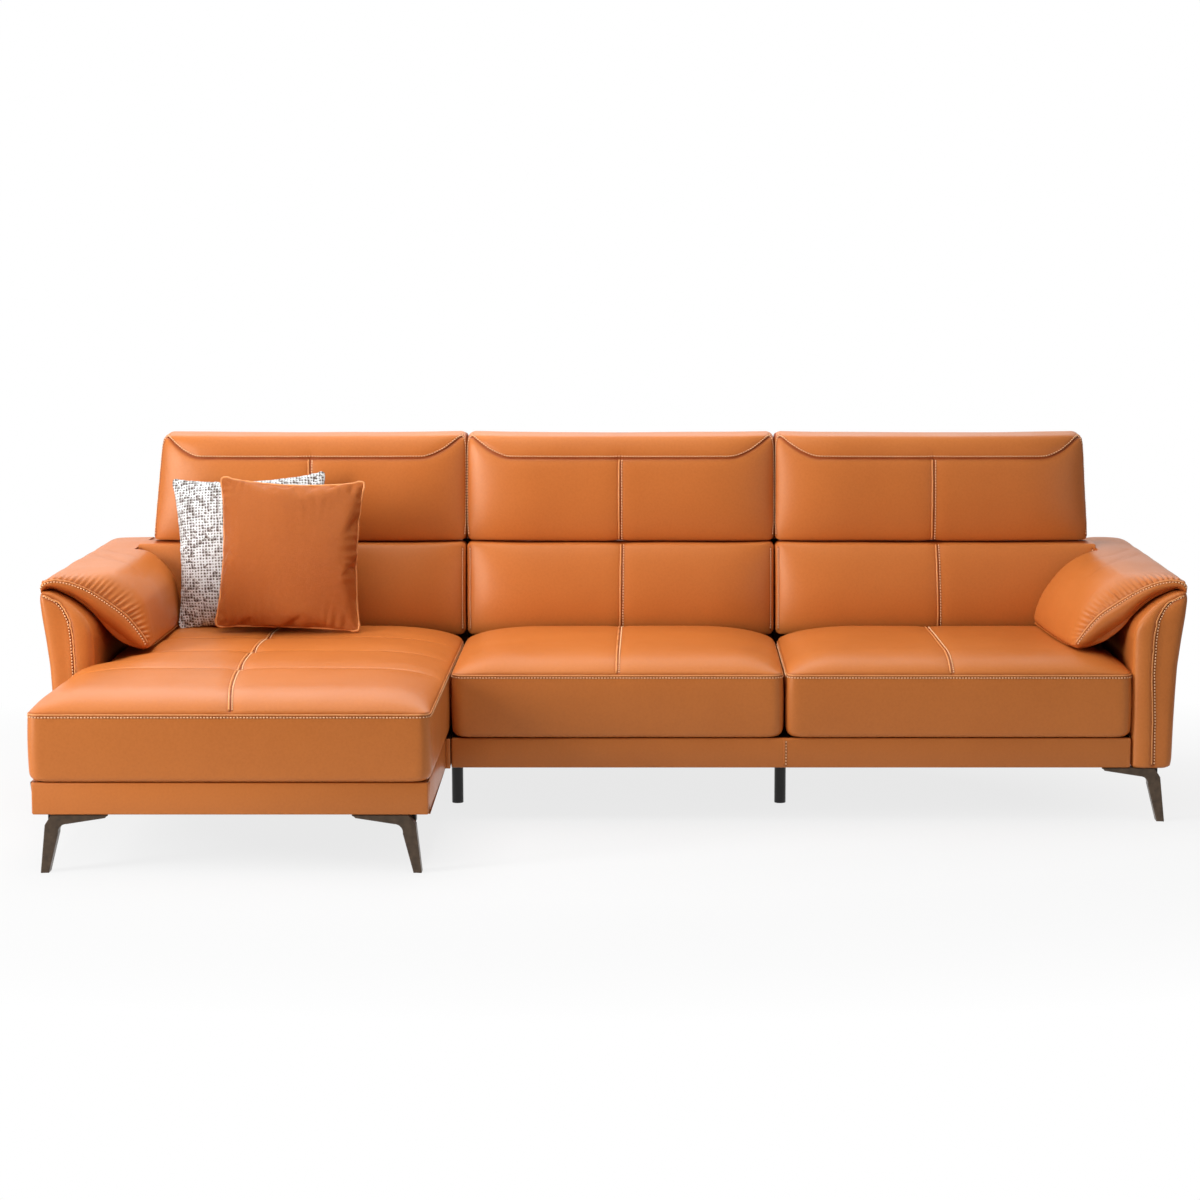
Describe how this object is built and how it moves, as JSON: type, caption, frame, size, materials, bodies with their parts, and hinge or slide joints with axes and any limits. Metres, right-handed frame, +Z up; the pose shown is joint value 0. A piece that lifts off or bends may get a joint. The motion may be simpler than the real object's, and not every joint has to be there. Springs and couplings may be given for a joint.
{
  "type": "leather chaise sofa",
  "caption": "Corner sofa with a chaise, padded arms, back cushions whose upper halves tip back on ratchet hinges, cast metal legs and loose pillows.",
  "frame": {"origin": "on the floor, under the middle of the sofa's overall footprint", "axes": "+X across the sofa to the viewer's right, +Y from front to back, +Z up"},
  "size_m": [3, 1.515, 0.971],
  "materials": {
    "tan_leather": "satin",
    "boucle": "matte",
    "foam": "matte",
    "timber": "matte",
    "hinge_steel": "satin",
    "bronze_metal": "satin",
    "black_metal": "satin",
    "black_cloth": "matte"
  },
  "bodies": {
    "sofa_body": {"chaise_dust_cover": "black_cloth", "chaise_frame": "timber", "chaise_leg_left": "bronze_metal", "chaise_leg_right": "bronze_metal", "chaise_rear_panel": "tan_leather", "chaise_seat_cover": "tan_leather", "chaise_seat_foam": "foam", "chaise_skirt": "tan_leather", "front_leg_right": "bronze_metal", "front_supports": "black_metal", "hinge_brackets": "hinge_steel", "left_arm_cover": "tan_leather", "left_arm_frame": "timber", "left_arm_pad_cover": "tan_leather", "left_arm_pad_fill": "foam", "left_back_frame": "timber", "left_lumbar_cover": "tan_leather", "left_lumbar_foam": "foam", "leg_blocks": "black_metal", "leg_screws": "hinge_steel", "main_dust_cover": "black_cloth", "main_frame": "timber", "main_rear_panel": "tan_leather", "main_skirt": "tan_leather", "middle_back_frame": "timber", "middle_lumbar_cover": "tan_leather", "middle_lumbar_foam": "foam", "middle_seat_cover": "tan_leather", "middle_seat_foam": "foam", "rear_leg_left": "bronze_metal", "rear_leg_right": "bronze_metal", "rear_supports": "black_metal", "right_arm_cover": "tan_leather", "right_arm_frame": "timber", "right_arm_pad_cover": "tan_leather", "right_arm_pad_fill": "foam", "right_back_frame": "timber", "right_lumbar_cover": "tan_leather", "right_lumbar_foam": "foam", "right_seat_cover": "tan_leather", "right_seat_foam": "foam", "seat_springs": "hinge_steel", "unit_connectors": "hinge_steel"},
    "left_headrest": {"left_headrest_cover": "tan_leather", "left_headrest_foam": "foam", "left_headrest_board": "timber", "left_hinge_arms": "hinge_steel"},
    "middle_headrest": {"middle_headrest_cover": "tan_leather", "middle_headrest_foam": "foam", "middle_headrest_board": "timber", "middle_hinge_arms": "hinge_steel"},
    "right_headrest": {"right_headrest_cover": "tan_leather", "right_headrest_foam": "foam", "right_headrest_board": "timber", "right_hinge_arms": "hinge_steel"},
    "leather_pillow": {"leather_pillow_cover": "tan_leather", "leather_pillow_filling": "foam"},
    "fabric_pillow": {"fabric_pillow_cover": "boucle", "fabric_pillow_filling": "foam"}
  },
  "joints": [
    {"name": "left_headrest_tilt", "type": "hinge", "parent": "sofa_body", "child": "left_headrest", "pos_m": [0, 0.6095, 0.657], "axis": [-1, 0, 0], "range_deg": [0, 65]},
    {"name": "middle_headrest_tilt", "type": "hinge", "parent": "sofa_body", "child": "middle_headrest", "pos_m": [0, 0.6095, 0.657], "axis": [-1, 0, 0], "range_deg": [0, 65]},
    {"name": "right_headrest_tilt", "type": "hinge", "parent": "sofa_body", "child": "right_headrest", "pos_m": [0, 0.6095, 0.657], "axis": [-1, 0, 0], "range_deg": [0, 65]},
    {"name": "leather_pillow_lift", "type": "slide", "parent": "sofa_body", "child": "leather_pillow", "axis": [0, 0.1736, 0.9848], "range_m": [0, 0.5]},
    {"name": "fabric_pillow_lift", "type": "slide", "parent": "sofa_body", "child": "fabric_pillow", "axis": [0, 0.1736, 0.9848], "range_m": [0, 0.5]}
  ]
}
